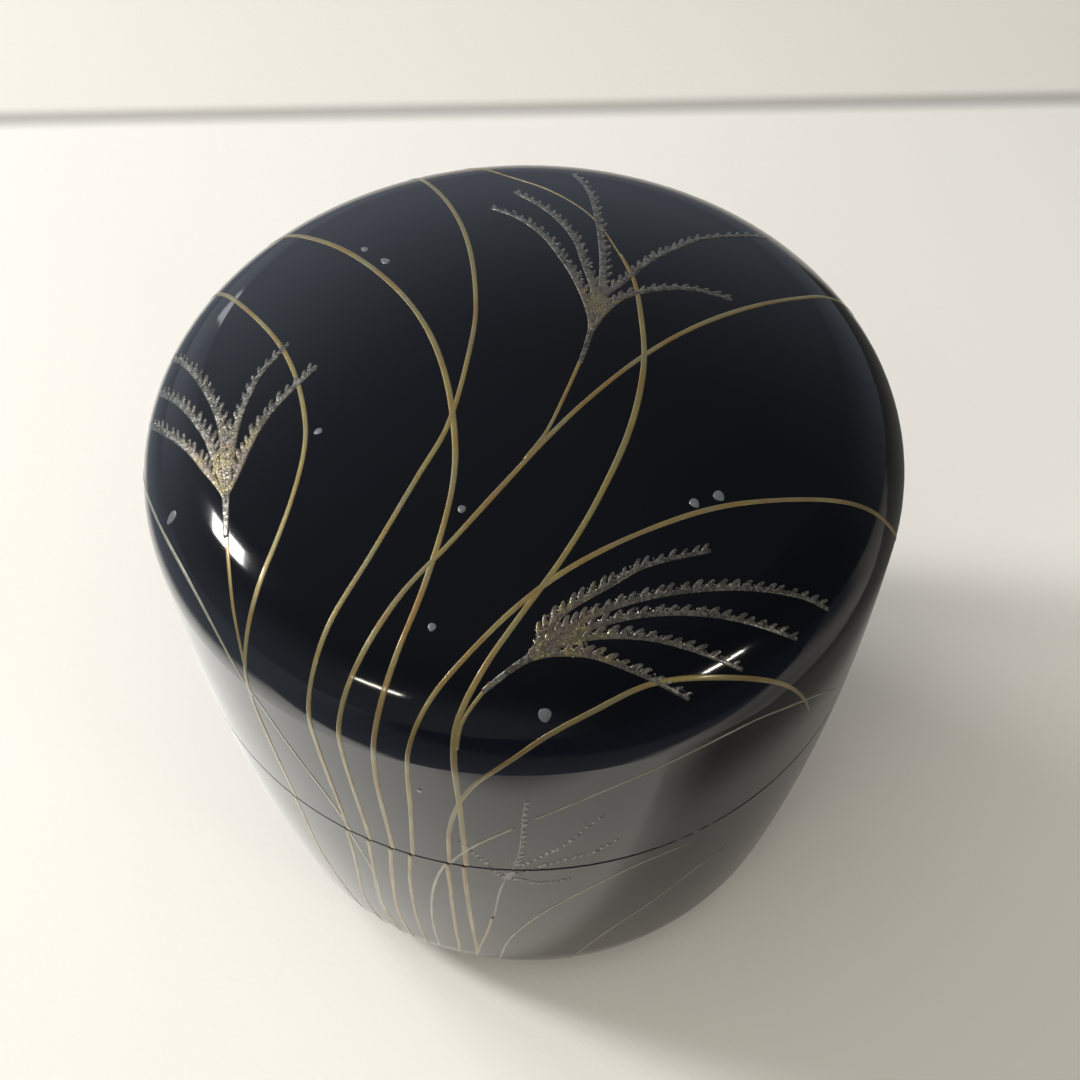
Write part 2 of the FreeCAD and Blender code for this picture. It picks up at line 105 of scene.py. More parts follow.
BLADES = (
    Blade("blade_left", 0.46, (
        (-40, 21), (-34, 17.8), (-28.6, 13.9), (-23.5, 7.7), (-19.6, 1), (-17.6, -6.5), (-18, -12),
        (-20.2, -19.1), (-23.5, -25.9), (-28, -31.6), (-34.1, -40.9), (-38, -46.4), (-44, -53), (-50, -64),
        (-50.5, -72),
    )),
    Blade("blade_left_stem", 0.42, ((-23.65, -15.2), (-23.4, -21.3), (-23.9, -26.3), (-26, -29.4)), 1),
    Blade("blade_left_thin", 0.32, (
        (-40, 2), (-36.5, -4), (-32.2, -11.1), (-27.2, -20.4), (-25.5, -26.7), (-26.1, -35.6), (-26.3, -44),
        (-27.2, -49.7), (-29.8, -58.8), (-36.3, -67.2), (-39.5, -77.5),
    ), pale=True),
    Blade("blade_left_back", 0.5, (
        (-37, 25), (-29.5, 23.2), (-22.6, 20.4), (-16.8, 16), (-12, 10.1), (-8.4, 3.8), (-6.3, -2.7),
        (-5.4, -10.1), (-5.8, -15), (-7.7, -21.9), (-9.9, -27.3), (-12.2, -32.3), (-15.7, -39.6),
        (-20.5, -51.5), (-25, -58.5), (-33.5, -70.7), (-36.5, -80),
    )),
    Blade("blade_back", 0.44, (
        (-19.5, 40), (-15, 35), (-9.9, 28), (-6.8, 21.9), (-4.6, 14.1), (-3.8, 5), (-4.4, -1), (-6, -8.1),
        (-8.3, -12.7), (-11.8, -19.1), (-14.8, -24), (-17.4, -29), (-20.9, -35.7), (-27.6, -49.1),
        (-33, -56.3), (-43.3, -66.4), (-45.5, -75.5),
    )),
    Blade("blade_back_stem", 0.42, ((4.95, -1.1), (3.5, -5), (1.8, -9), (0, -11.7)), 1),
    Blade("blade_right_back", 0.46, (
        (39, 11.5), (34.5, 12), (30.2, 11), (25, 9), (19.7, 6.3), (14.4, 2.8), (9.9, -1), (5.1, -5.9),
        (1.7, -9.8), (-1.6, -13.8), (-5.7, -18.6), (-9.4, -22.5), (-12.4, -26.8), (-15.1, -31.1),
        (-18.1, -36.8), (-22.5, -47.2), (-24.6, -51.3), (-28.9, -57.4), (-37.5, -68.1), (-40.6, -78),
    )),
    Blade("blade_far_back_tip", 0.24, (
        (-12, 39), (-7.5, 33), (-1.7, 27), (3, 23), (6.6, 18.1), (8.9, 11.6),
    )),
    Blade("blade_far_back", 0.5, (
        (8.8, 12.1), (9.7, 8.6), (10, 4.9), (9.9, -1.8), (8.4, -8.6), (5.6, -15.2), (2.8, -20.1),
        (-0.5, -24.7), (-3.3, -28.6), (-5.6, -32.6), (-6.4, -36), (-7.7, -44.1), (-9.8, -55),
        (-12.9, -69.5), (-15.1, -79.2), (-18.5, -88),
    ), 0.6),
    Blade("blade_right", 0.42, (
        (43, -10), (38, -12.7), (33.3, -13.8), (27.4, -13.6), (21.6, -14.1), (15, -15.5), (9.1, -17.9),
        (3.5, -20.9), (-0.6, -23.9), (-4.6, -27.7), (-8, -31.4), (-10.4, -35.6), (-13.8, -44.5),
        (-17.7, -53), (-21.7, -59.8), (-29.4, -74.1), (-32.6, -82.8),
    )),
    Blade("blade_right_front", 0.45, (
        (32.5, -32.6), (25.5, -30.5), (20.5, -29.3), (14.6, -29.2), (9.3, -29.9), (5.2, -31.8),
        (0.2, -34.7), (-5.5, -39.9), (-9.8, -47.2), (-12.4, -55.1), (-14, -60.9), (-19.1, -75.9),
        (-23, -86),
    )),
    Blade("blade_front_thin_tip", 0.24, (
        (40, -29), (32.7, -30.6), (25.9, -32.1), (20, -33.7), (11, -38.8), (0.3, -45.5),
    ), pale=True),
    Blade("blade_front_thin", 0.28, (
        (-2.2, -47.2), (-7.6, -50.7), (-12.1, -54.4), (-15.3, -58), (-18.6, -62.7), (-22.6, -69.6),
        (-26.1, -77), (-29, -84.5),
    ), 1, pale=True),
    Blade("blade_low", 0.22, (
        (25.2, -52.1), (16.1, -56.4), (7.5, -62.5), (-0.3, -69.5), (-5.9, -76.2), (-9.4, -82.9),
        (-12.4, -88),
    ), pale=True),
    Blade("blade_low_faint", 0.16, (
        (36.5, -53.8), (31.1, -59.1), (24.3, -67.3), (19.4, -72.7), (12.3, -82.2), (9.5, -88),
    ), pale=True),
    Blade("blade_right_stem", 0.4, ((-2.9, -29.75), (-5.2, -32.6), (-6, -35)), 1),
    Blade("blade_front_stem", 0.4, ((-8, -68.4), (-10.7, -73.8), (-15.7, -81.3), (-17.5, -87)), 0.7),
)

PLUMES = (
    Plume("plume_left", 1.2, 1.1, ((-23.7, -16), (-23.9, -12.8)), (
        (RIGHT, ((-26.4, -8.5), (-28.2, -6.2), (-30.8, -3.6), (-34, -0.6))),
        (RIGHT, ((-25.8, -6.7), (-27.3, -4), (-29.1, -1.5), (-32.8, 2.4))),
        (RIGHT, ((-24.8, -5.7), (-25.9, -2.5), (-27.4, 0.4), (-29.3, 3.3), (-32.3, 6.7))),
        (LEFT, ((-23.8, -7.9), (-23.5, -5), (-22.9, -2.6), (-21.9, 0), (-19.7, 3))),
        (LEFT, ((-23.1, -10.2), (-22.4, -7.9), (-21.4, -5.7), (-19.9, -3.5), (-17, -0.3))),
    )),
    Plume("plume_back", 0.95, 1.4, ((4.7, -2), (5.6, 1.2)), (
        (RIGHT, ((5.6, 4.6), (4.7, 8.3), (3.6, 11.4), (2, 15), (-0.2, 18), (-2.5, 19.8))),
        (RIGHT, ((6.2, 6.4), (5.6, 10.3), (4.8, 14.5), (3.1, 18.3), (1.3, 20.9), (-0.4, 22.8))),
        (RIGHT, ((6.6, 5.3), (7.1, 9.5), (7.2, 14.2), (7, 19), (6.5, 23.6), (5.3, 26.9))),
        (LEFT, ((6.7, 5.5), (9.1, 8.5), (11.2, 11.2), (13.9, 13.8), (16.8, 16), (19.6, 17.1), (23, 18.2))),
        (LEFT, ((6.7, 3.5), (8.4, 5.8), (10.4, 6.9), (12.9, 7.7), (15.4, 7.8), (18.3, 7))),
    )),
    Plume("plume_right", 1.0, 1.0, ((-3.5, -30.4), (-0.6, -28.4)), (
        (LEFT, ((2.3, -24.9), (6.4, -22.3), (9, -20.8), (14.1, -19.3))),
        (LEFT, ((3.3, -25.7), (7.8, -23.7), (14.5, -22.4), (21.1, -22.3), (24.4, -22.8))),
        (LEFT, ((4.3, -25.9), (9.1, -24.7), (14.4, -24.6), (21.5, -25.6))),
        (LEFT, ((3.8, -26.7), (8.3, -26.5), (12.1, -27.2), (16.7, -28.5))),
        (LEFT, ((3.7, -27.8), (7.5, -28.9), (12.4, -31))),
    )),
    Plume("plume_front", 0.4, 1.0, ((-7.5, -67.8), (-4.3, -58.7)), (
        (RIGHT, ((-5.4, -56.6), (-7.4, -53.6), (-9.6, -49.5))),
        (RIGHT, ((-3.1, -55.8), (-1.8, -51.5), (-0.7, -41.8))),
        (LEFT, ((-1.9, -55.6), (1.6, -52.9), (4.2, -50.9), (8.1, -45.4))),
        (LEFT, ((-1.7, -56.6), (3.7, -54.3), (8.3, -52.7), (11.2, -50.3))),
        (LEFT, ((-2.1, -58.2), (1, -59.3), (6.5, -58.2))),
    ), faint_painted_light=True),
)

# Each drop: its middle, its half width, and how much longer than wide it is.
DROPS = (
    ((-11.9, 12.3), 0.36, 1.5), ((-13.9, 14.6), 0.3, 1.5), ((-16.5, -7.4), 0.3, 1.3),
    ((-4.9, -15.9), 0.33, 1.1), ((-7.2, -25.4), 0.32, 1.1), ((13.1, -15.3), 0.38, 1.2),
    ((15.1, -14.5), 0.46, 1.1), ((-11.2, -40.9), 0.26, 1.2), ((1.1, -32.3), 0.5, 1.15),
    ((-29.5, -12.5), 0.42, 1.8),
)


class Spot(NamedTuple):
    """A spot on the skin, with the directions away from the crown and round the axis."""

    place: Vector
    normal: Vector
    downhill: Vector
    around: Vector
    flat: Vector
    radius: float


class Skin:
    """The caddy's outer outline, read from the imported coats, and what the flat drawing covers on it."""

    def __init__(self, *nodes):
        digits = 7
        reached = {}
        for node in nodes:
            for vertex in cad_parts[node].data.vertices:
                reach = math.hypot(vertex.co.x, vertex.co.y)
                reached[round(reach, digits), round(vertex.co.z, digits)] = True
        both = [Vector((sign * r, z)) for r, z in reached for sign in (1, -1)]
        rim = sorted((both[i] for i in convex_hull_2d(both)), key=lambda p: -p.y)
        self.outline = [p for p in rim if p.x >= 0]
        steps = [b - a for a, b in zip(self.outline, self.outline[1:])]
        slopes = [math.atan2(-step.y, step.x) for step in steps]
        self.slopes = [0.0] + [(a + b) / 2 for a, b in zip(slopes, slopes[1:])] + slopes[-1:]
        self.lengths = distances(self.outline)
        below = next(i for i, p in enumerate(self.outline) if p.y < SEAM)
        high, low = self.outline[below - 1], self.outline[below]
        share = (high.y - SEAM) / (high.y - low.y)
        self.seam = self.lengths[below - 1] + share * (self.lengths[below] - self.lengths[below - 1])

    def seat(self, flat, turn=0.0):
        """The spot of the skin that a point of the flat drawing comes to lie on."""
        distance = min(flat.length, self.lengths[-1])
        bearing = math.atan2(flat.x, -flat.y) + turn
        i = min(bisect.bisect_right(self.lengths, distance), len(self.lengths) - 1)
        share = (distance - self.lengths[i - 1]) / (self.lengths[i] - self.lengths[i - 1])
        radius, height = self.outline[i - 1].lerp(self.outline[i], share)
        slope = self.slopes[i - 1] + share * (self.slopes[i] - self.slopes[i - 1])
        outward = Vector((math.sin(bearing), -math.cos(bearing), 0))
        upward = Vector((0, 0, 1))
        return Spot(
            outward * radius + upward * height,
            outward * math.sin(slope) + upward * math.cos(slope),
            outward * math.cos(slope) - upward * math.sin(slope),
            Vector((math.cos(bearing), math.sin(bearing), 0)),
            flat,
            radius,
        )

    def beside(self, spot, offset, turn=0.0):
        """The spot that lies a small way off another one, given as a vector in space."""
        distance = spot.flat.length + offset.dot(spot.downhill)
        bearing = math.atan2(spot.flat.x, -spot.flat.y) + offset.dot(spot.around) / spot.radius
        return self.seat(Vector((distance * math.sin(bearing), -distance * math.cos(bearing))), turn)

    def body_at(self, flat):
        """Which body carries a point of the drawing."""
        return "lid" if flat.length < self.seam else "body"

    def near_seam(self, flat, margin):
        """Whether a point of the drawing lies within a margin of the seam."""
        return abs(flat.length - self.seam) < margin

    def carries(self, body, flat, margin):
        """Whether a body carries a point of the drawing, a margin clear of the seam."""
        return self.body_at(flat) == body and not self.near_seam(flat, margin)


def distances(line, start=0.0):
    """How far along a line each of its points lies."""
    walked = [start]
    for a, b in zip(line, line[1:]):
        walked.append(walked[-1] + (b - a).length)
    return walked


skin = Skin("lid_outer_lacquer", "body_outer_lacquer")


def smooth_line(route, step):
    """Points of a smooth line through a route's points, which are in millimetres."""
    points = [Vector(p) * MM for p in route]
    ends = [points[0], *points, points[-1]]
    headings = [(after - before).normalized() for before, after in zip(ends, ends[2:])]
    line = []
    for i, (start, finish) in enumerate(zip(points, points[1:])):
        span = (finish - start).length
        first = start + headings[i] * span / 3
        second = finish - headings[i + 1] * span / 3
        count = max(2, math.ceil(span / step)) + 1
        line += interpolate_bezier(start, first, second, finish, count)[:-1]
    return line + points[-1:]


def parted_at_seam(line, margin):
    """The stretches of a line on the lid and on the body, each ending a margin away from the seam."""
    runs = []
    for before, flat in zip([None, *line], line):
        body = skin.body_at(flat)
        if not runs or runs[-1][0] != body:
            edge = skin.seam + (margin if body == "body" else -margin)
            runs.append((body, [] if before is None else [flat.normalized() * edge]))
            if before is not None:
                other = 2 * skin.seam - edge
                runs[-2][1].append(before.normalized() * other)
        if not skin.near_seam(flat, margin):
            runs[-1][1].append(flat)
    return [(body, run) for body, run in runs if len(run) > 2]


def turn_on(body, sizes):
    """How far the drawing is turned on a body, because the lid isn't put on quite straight."""
    return 0.0 if body == "lid" else -sizes.lid_turn


# Cross-section of a powder line: share of the half width, and of the relief, or of the sink if negative.
CROWN = ((-1, -1), (-0.92, 0.55), (-0.55, 0.92), (0, 1), (0.55, 0.92), (0.92, 0.55), (1, -1))


def strand(mesh, spots, half_widths, relief, sink):
    """A closed crowned line of powder along spots of the skin."""
    places = [spot.place for spot in spots]
    ends = [places[0], *places, places[-1]]
    rings = []
    for spot, before, after, half in zip(spots, ends, ends[2:], half_widths):
        across = spot.normal.cross(after - before).normalized()
        ring = []
        for share, rise in CROWN:
            lift = spot.normal * rise * (relief if rise > 0 else sink)
            ring.append(mesh.verts.new(spot.place + across * share * half + lift))
        rings.append(ring)
    count = len(CROWN)
    for ring, following in zip(rings, rings[1:]):
        for i in range(count):
            j = (i + 1) % count
            face = mesh.faces.new((ring[i], ring[j], following[j], following[i]))
            face.smooth = j > 0
    mesh.faces.new(reversed(rings[0]))
    mesh.faces.new(rings[-1])


GRAIN_CORNERS = 5
GRAIN_LEAN = 0.5


def crystal(mesh, spot, size, relief, sink, rng):
    """A facetted grain of powder, half set in the lacquer."""
    twist = rng.uniform(0, math.tau)
    downhill = spot.downhill * rng.uniform(-GRAIN_LEAN, GRAIN_LEAN)
    lean = (downhill + spot.around * rng.uniform(-GRAIN_LEAN, GRAIN_LEAN)) * size / 2
    foot = []
    for i in range(GRAIN_CORNERS):
        angle = twist + math.tau * i / GRAIN_CORNERS
        out = (spot.downhill * math.cos(angle) + spot.around * math.sin(angle)) * size / 2
        foot.append(mesh.verts.new(spot.place + out - spot.normal * sink))
    top = mesh.verts.new(spot.place + lean + spot.normal * relief)
    for a, b in zip(foot, foot[1:] + foot[:1]):
        mesh.faces.new((a, b, top))
    mesh.faces.new(reversed(foot))


# A hair of a plume, from its spike outwards: how far it leans ahead and stands out, and its half width.
HAIR = (
    (0, 0, 0.42), (0.08, 0.28, 0.33), (0.22, 0.49, 0.25), (0.41, 0.66, 0.21), (0.6, 0.77, 0.18),
    (0.74, 0.82, 0.1),
)


def hair_spots(spot, along, hand, length, turn):
    """Spots along one hair that stands on a spike and leans to its tip."""
    out = spot.normal.cross(along).normalized() * hand
    return [skin.beside(spot, (along * ahead + out * off) * length, turn) for ahead, off, _ in HAIR]


def show(name, mesh, material, body):
    """Makes a piece of a built mesh, which rides on a body and takes the given finish."""
    if not mesh.faces:
        raise RuntimeError(f"{name} came out empty")
    bmesh.ops.recalc_face_normals(mesh, faces=mesh.faces)
    data = bpy.data.meshes.new(name)
    mesh.to_mesh(data)
    mesh.free()
    data.materials.append(material)
    piece = bpy.data.objects.new(name, data)
    bpy.context.scene.collection.objects.link(piece)
    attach(piece, body)


class Edge(NamedTuple):
    """A soft edge in the light: the way it faces, and how far along that way it starts and is full."""

    way: tuple
    start: float
    full: float


class Wire:
    """A socket of a node tree. Arithmetic on it adds Math nodes, and node adds any other node."""

    def __init__(self, tree, socket=None):
        self.tree = tree
        self.socket = socket

    def node(self, kind, settings=None, inputs=None, output=0):
        """Adds a node, sets it, fills or links its sockets, and returns one of its outputs."""
        made = self.tree.nodes.new(kind)
        for name, value in (settings or {}).items():
            setattr(made, name, value)
        for key, value in (inputs or {}).items():
            if isinstance(value, Wire):
                self.tree.links.new(value.socket, made.inputs[key])
            else:
                made.inputs[key].default_value = value
        return Wire(self.tree, made.outputs[output]) if made.outputs else None

    def math(self, operation, *values):
        """A Math node on some values, this one among them."""
        return self.node("ShaderNodeMath", {"operation": operation}, dict(enumerate(values)))

    def __add__(self, other):
        return self.math("ADD", self, other)

    __radd__ = __add__

    def __sub__(self, other):
        return self.math("SUBTRACT", self, other)

    def __rsub__(self, other):
        return self.math("SUBTRACT", other, self)

    def __mul__(self, other):
        return self.math("MULTIPLY", self, other)

    __rmul__ = __mul__

    def __pow__(self, other):
        return self.math("POWER", self, other)

    def __abs__(self):
        return self.math("ABSOLUTE", self)

    def between(self, low, high):
        """0 up to low, 1 from high on, and a smooth rise between them."""
        settings = {"interpolation_type": "SMOOTHSTEP"}
        values = {"Value": self, "From Min": low, "From Max": high}
        return self.node("ShaderNodeMapRange", settings, values)

    def past(self, edge):
        """0 before a soft edge and 1 past it."""
        return self.along(edge.way).between(edge.start, edge.full)

    def blend(self, low, high):
        """A colour that goes from low to high as this value goes from 0 to 1."""
        colours = [c if isinstance(c, Wire) else (*c, 1.0) for c in (low, high)]
        return self.node("ShaderNodeMix", {"data_type": "RGBA"}, {0: self, 6: colours[0], 7: colours[1]}, 2)

    def mix(self, low, high):
        """A shader that goes from low to high as this value goes from 0 to 1."""
        return self.node("ShaderNodeMixShader", None, {0: self, 1: low, 2: high})

    def glow(self, colour):
        """A shader that gives light of a colour."""
        return self.node("ShaderNodeEmission", None, {"Color": (*colour, 1)})

    def noise(self, scale, detail):
        """Soft noise at this place, with so many lumps to the metre."""
        return self.node("ShaderNodeTexNoise", None, {"Vector": self, "Scale": scale, "Detail": detail})

    def cells(self, scale, output="Distance"):
        """Grains at this place, so many to the metre."""
        return self.node("ShaderNodeTexVoronoi", None, {"Vector": self, "Scale": scale}, output)

    def channel(self, name):
        """One channel of this colour."""
        return self.node("ShaderNodeSeparateColor", None, {0: self}, name)

    def height(self):
        """How high this place lies."""
        return self.node("ShaderNodeSeparateXYZ", None, {0: self}, "Z")

    def vector(self, operation, other=None, output="Vector"):
        """A Vector Math node on this place."""
        values = {0: self} if other is None else {0: self, 1: other}
        return self.node("ShaderNodeVectorMath", {"operation": operation}, values, output)

    def along(self, direction):
        """How far this place lies along a direction."""
        return self.vector("DOT_PRODUCT", direction, "Value")

    def bump(self, distance):
        """Normals of a surface that this value raises, by so many metres at 1."""
        return self.node("ShaderNodeBump", None, {"Height": self, "Distance": distance}, "Normal")


def finish(name):
    """A new material, with the wire that its place on the object comes from."""
    material = bpy.data.materials.new(name)
    material.use_nodes = True
    material.node_tree.nodes.clear()
    return material, Wire(material.node_tree).node("ShaderNodeTexCoord", output="Object")


def shade(wire, inputs):
    """Ends a material in one Principled shader."""
    shader = wire.node("ShaderNodeBsdfPrincipled", None, inputs, "BSDF")
    wire.node("ShaderNodeOutputMaterial", None, {"Surface": shader})


def darker(colour, share):
    """A colour at a share of its strength."""
    return tuple(channel * share for channel in colour)


# Lumps to the metre of what changes over each finish.
POLISH_DRIFT, POLISH_WAVES, POLISH_MARKS = 70, 95, 5200
WOOD_RINGS, WOOD_FIBRES = 160.0, 2400
GOLD_STRETCHES, GOLD_PATCHES = 220, 300
SILVER_BROWNING, SILVER_PATCHES = 700, 900
DEW_MOTTLE = 3500
CARD_CLOUDS, CARD_TOOTH = 6, 1500

# How far the finishes rise and fall, in metres or as a share of a grain.
POLISH_RELIEF, FIBRE_RELIEF, DEW_RELIEF, TOOTH_RELIEF = 0.01 * MM, 0.04 * MM, 0.02 * MM, 0.03 * MM
GOLD_GRIT, SILVER_GRIT = 0.09, 0.18

LACQUER_IOR = 1.54
COAT_ROUGHNESS = 0.12
RUBBED_FULL, RUBBED_END = 0.1 * MM, 0.3 * MM


class Powder(NamedTuple):
    """A metal powder: the size of its grains, the share that is all dark, and how metallic it looks."""

    grain: float
    dark_share: float
    metal: float


GOLD_POWDER = Powder(0.07 * MM, 0.1, 0.5)
PALE_GOLD_POWDER = Powder(0.07 * MM, 0.1, 0.4)
FAINT_SILVER_POWDER = Powder(0.19 * MM, 0.3, 0.1)
SILVER_POWDER = Powder(0.19 * MM, 0.35, 0.7)


def lacquer_finish(name, colour, gloss, marks, handled=False):
    """Polished lacquer: slow drift of the polish and faint marks, and a duller seam where it is handled."""
    material, place = finish(name)
    drift = place.noise(POLISH_DRIFT, 3)
    fine = place.noise(POLISH_MARKS, 2)
    pale = drift * 0.7
    dull = gloss + drift * 0.03 + fine * (0.03 * marks)
    if handled:
        rubbed = 1 - abs(place.height() - SEAM).between(RUBBED_FULL, RUBBED_END)
        pale = pale + rubbed * 0.6
        dull = dull + rubbed * 0.3
    wave = place.noise(POLISH_WAVES, 1) + fine * (0.02 * marks)
    shade(place, {
        "Base Color": pale.blend(darker(colour, 0.75), darker(colour, 1.7)),
        "Roughness": dull,
        "IOR": LACQUER_IOR,
        "Normal": wave.bump(POLISH_RELIEF),
    })
    return material


def wood_finish(name, colour):
    """Turned wood with its rings, closed in by the lacquer."""
    material, place = finish(name)
    along_grain = (1, 1, 0.15)
    stretched = place.vector("MULTIPLY", along_grain)
    rings = stretched.node("ShaderNodeTexWave", {"wave_type": "RINGS"}, {
        "Vector": stretched, "Scale": WOOD_RINGS, "Distortion": 5.0, "Detail": 3.0, "Detail Scale": 1.5,
    })
    fibres = stretched.noise(WOOD_FIBRES, 4)
    shade(place, {
        "Base Color": (rings * 0.7 + fibres * 0.3).blend(darker(colour, 0.6), colour),
        "Roughness": 0.55 + fibres * 0.2,
        "Normal": fibres.bump(FIBRE_RELIEF),
    })
    return material


def powder_finish(name, bright, deep, tinge, powder):
    """Metal powder: bright and dark grains, stretches of another tinge, and grit under a clear coat."""
    material, place = finish(name)
    grains = place.cells(1 / powder.grain, "Color")
    pick, other = (grains.channel(channel) for channel in ("Red", "Green"))
    patches = place.noise(GOLD_PATCHES, 3)
    lit = pick.between(powder.dark_share, 1.0) * 0.45 + patches.between(0.35, 0.62) * 0.55
    stretch = place.noise(GOLD_STRETCHES, 2).between(0.42, 0.66) * 0.5 + other.between(0.55, 0.95) * 0.35
    grit = pick + place.cells(1 / powder.grain) * 0.6
    shade(place, {
        "Base Color": stretch.blend(lit.blend(deep, bright), tinge),
        "Metallic": powder.metal + patches * 0.15,
        "Roughness": 0.4 + other * 0.14 - patches * 0.06,
        "Coat Weight": 0.5 + patches * 0.3,
        "Coat Roughness": COAT_ROUGHNESS,
        "Normal": grit.bump(powder.grain * GOLD_GRIT),
    })
    return material


def silver_finish(name, bright, deep, warm, fan):
    """Coarse silver powder that leans to gold and to reddish brown in the fan over a plume's neck."""
    material, place = finish(name)
    powder = SILVER_POWDER
    grains = place.cells(1 / powder.grain, "Color")
    pick, other, third = (grains.channel(channel) for channel in ("Red", "Green", "Blue"))
    patches = place.noise(SILVER_PATCHES, 3).between(0.3, 0.7)
    lit = pick.between(powder.dark_share, 0.9) * 0.8 + patches * 0.2
    from_neck = place.node("ShaderNodeAttribute", {"attribute_name": "from_neck"}, None, "Fac")
    in_fan = from_neck.between(0, 0.3 * fan) * (1 - from_neck.between(0.9 * fan, 1.9 * fan))
    reddish = tuple(warm[0] * share for share in (0.6, 0.45, 0.36))
    brown = place.noise(SILVER_BROWNING, 2).between(0.4, 0.6).blend(warm, reddish)
    browned = in_fan * (0.2 + third.between(0.3, 0.8) * 0.6) + other.between(0.7, 1.0) * 0.2
    grit = pick + place.cells(1 / powder.grain) * 0.6
    shade(place, {
        "Base Color": browned.blend(lit.blend(deep, bright), brown),
        "Metallic": powder.metal + lit * 0.25,
        "Roughness": 0.34 + other * 0.16,
        "Coat Weight": 0.3 + other * 0.3,
        "Coat Roughness": COAT_ROUGHNESS,
        "Normal": grit.bump(powder.grain * SILVER_GRIT),
    })
    return material


def dew_finish(name, colour):
    """Drops of silver under a clear coat."""
    material, place = finish(name)
    mottle = place.noise(DEW_MOTTLE, 2)
    shade(place, {
        "Base Color": mottle.blend(darker(colour, 0.6), colour),
        "Metallic": 0.55,
        "Roughness": 0.25 + mottle * 0.2,
        "Coat Weight": 0.4,
        "Normal": mottle.bump(DEW_RELIEF),
    })
    return material


def card_finish(name, colour, joint, half_width):
    """Pale smooth card with a faint tooth, and painted shade towards the joint of two cards."""
    material, place = finish(name)
    tooth = place.noise(CARD_TOOTH, 3)
    clouds = place.noise(CARD_CLOUDS, 2)
    # Painted shade: the card's colour darkens along the joint, where the gap's shadow falls.
    painted_joint_shade = 1 - abs(place.along((0, 1, 0)) - joint).between(0, half_width)
    plain = (clouds * 0.7 + tooth * 0.3).blend(darker(colour, 0.97), colour)
    shade(place, {
        "Base Color": painted_joint_shade.blend(plain, darker(colour, 0.56)),
        "Roughness": 0.75 + tooth * 0.1,
        "Specular IOR Level": 0.15,
        "Normal": tooth.bump(TOOTH_RELIEF),
    })
    return material


# Kinds of settings: the property that holds one, and its unit or subtype.
LENGTH = FloatProperty, {"unit": "LENGTH", "precision": 6}
SHARE = FloatProperty, {"subtype": "FACTOR"}
ANGLE = FloatProperty, {"subtype": "ANGLE"}
POWER = FloatProperty, {"unit": "POWER"}
LENS = FloatProperty, {"unit": "CAMERA"}
COLOUR = FloatVectorProperty, {"subtype": "COLOR"}
PLACE = FloatVectorProperty, {"subtype": "TRANSLATION"}
COUNT = IntProperty, {}


def setting(kind, name, description, default):
    """A property of one of the kinds above."""
    prop, options = kind
    return prop(name=name, description=description, default=default, **options)


class CaddyDrawing(bpy.types.PropertyGroup):
    """Sizes of the gold and silver drawing."""

    relief: setting(LENGTH, "Relief", "How far the powder stands out of the lacquer", 0.03 * MM)
    sink: setting(LENGTH, "Sink", "How far the powder reaches into the lacquer", 0.045 * MM)
    step: setting(LENGTH, "Step", "Longest stretch of a line between two rings of its mesh", 0.5 * MM)
    tip_length: setting(LENGTH, "Tip", "Length over which a blade narrows to its tip", 14 * MM)
    root_length: setting(LENGTH, "Root", "Length over which a blade narrows to its root", 48 * MM)
    unevenness: setting(SHARE, "Unevenness", "How much a brushed line swells and narrows", 0.1)
    seam_margin: setting(LENGTH, "Seam margin", "Bare edge at each side of the seam", 0.17 * MM)
    lid_turn: setting(ANGLE, "Lid turn", "How far the lid is turned on the body", math.radians(0.45))
    spike_width: setting(LENGTH, "Spike width", "Width of a plume's spike at its foot", 0.66 * MM)
    hair_length: setting(LENGTH, "Hair length", "Length of the longest hairs on a plume", 0.98 * MM)
    hair_spacing: setting(LENGTH, "Hair spacing", "Distance between two hairs on a spike", 0.98 * MM)
    flare: setting(LENGTH, "Flare", "How far a plume's stem widens into the fan over its neck", 3.4 * MM)
    fan_length: setting(LENGTH, "Fan", "How far from its neck a plume is filled with grains", 5 * MM)
    grain: setting(LENGTH, "Grain", "Size of the coarse grains on the plumes", 0.24 * MM)
    seed: setting(COUNT, "Seed", "Start of the drawing's unevenness", 7)


class CaddyFinish(bpy.types.PropertyGroup):
    """Colours and gloss."""

    black: setting(COLOUR, "Black", "Outer lacquer", (0.0028, 0.0032, 0.0048))
    inside: setting(COLOUR, "Inside", "Lacquer of the inside and the foot", (0.0075, 0.007, 0.007))
    wood: setting(COLOUR, "Wood", "Turned core", (0.52, 0.36, 0.2))
    gold: setting(COLOUR, "Gold", "Bright grains of the gold powder", (0.32, 0.275, 0.1))
    gold_deep: setting(COLOUR, "Deep gold", "Dark grains of the gold powder", (0.24, 0.135, 0.04))
    gold_pale: setting(COLOUR, "Pale gold", "Greyer stretches of the gold powder", (0.22, 0.21, 0.13))
    thin_gold: setting(COLOUR, "Thin gold", "Palest lines, at the front and the left", (0.42, 0.41, 0.33))
    silver: setting(COLOUR, "Silver", "Bright grains of the silver powder", (0.38, 0.365, 0.315))
    silver_deep: setting(COLOUR, "Deep silver", "Dark grains of the silver powder", (0.058, 0.055, 0.048))
    silver_warm: setting(COLOUR, "Warm silver", "Stretches of silver that lean to gold", (0.38, 0.31, 0.14))
    # Thinly strewn silver, also painted paler than the silver of the plumes on top to make up for the shade
    # on the front.
    faint_painted_light: setting(COLOUR, "Faint silver", "Thinly strewn powder low on the front", (0.255, 0.245, 0.225))
    dew: setting(COLOUR, "Dew", "Drops of dew", (0.25, 0.265, 0.28))
    gloss: setting(SHARE, "Gloss", "Roughness of the polished lacquer", 0.045)


